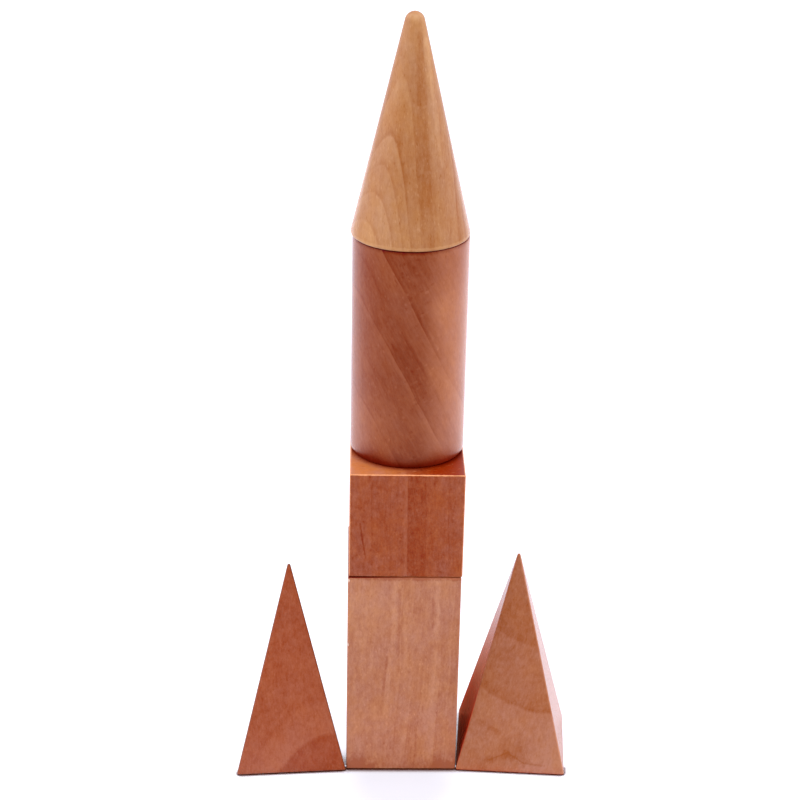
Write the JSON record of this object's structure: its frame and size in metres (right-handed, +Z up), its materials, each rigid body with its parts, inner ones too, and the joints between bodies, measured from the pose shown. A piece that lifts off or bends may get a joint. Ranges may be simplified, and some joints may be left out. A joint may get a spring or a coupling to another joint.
{
  "type": "set of wooden geometric solids",
  "caption": "Loose hardwood geometric solids for feeling, naming and stacking: prism, cube, cylinder and cone stacked in a tower, with a square pyramid and a triangular pyramid beside it.",
  "frame": {"origin": "centre of the square prism's underside, on the surface that the set stands on", "axes": "+Z up along the tower, +X to the right towards the square pyramid, +Y to the back, away from the viewer"},
  "size_m": [0.1226, 0.05, 0.2744],
  "materials": {
    "beech_pale": "satin clear lacquer",
    "beech_brown": "satin clear lacquer",
    "beech_red": "satin clear lacquer",
    "beech_golden": "satin clear lacquer",
    "beech_rose": "satin clear lacquer",
    "beech_rust": "satin clear lacquer"
  },
  "bodies": {
    "square_prism": {"square_prism": "beech_pale"},
    "cube": {"cube": "beech_brown"},
    "cylinder": {"cylinder": "beech_red"},
    "cone": {"cone": "beech_golden"},
    "square_pyramid": {"square_pyramid": "beech_rose"},
    "triangular_pyramid": {"triangular_pyramid": "beech_rust"}
  },
  "joints": [
    {"name": "cube_lift", "type": "slide", "parent": "square_prism", "child": "cube", "axis": [0, 0, 1], "range_m": [0, 0.06]},
    {"name": "cylinder_lift", "type": "slide", "parent": "cube", "child": "cylinder", "axis": [0, 0, 1], "range_m": [0, 0.08]},
    {"name": "cone_lift", "type": "slide", "parent": "cylinder", "child": "cone", "axis": [0, 0, 1], "range_m": [0, 0.08]},
    {"name": "square_pyramid_slide", "type": "slide", "parent": "square_prism", "child": "square_pyramid", "axis": [1, 0, 0], "range_m": [0, 0.08]},
    {"name": "triangular_pyramid_slide", "type": "slide", "parent": "square_prism", "child": "triangular_pyramid", "axis": [-1, 0, 0], "range_m": [0, 0.08]}
  ]
}
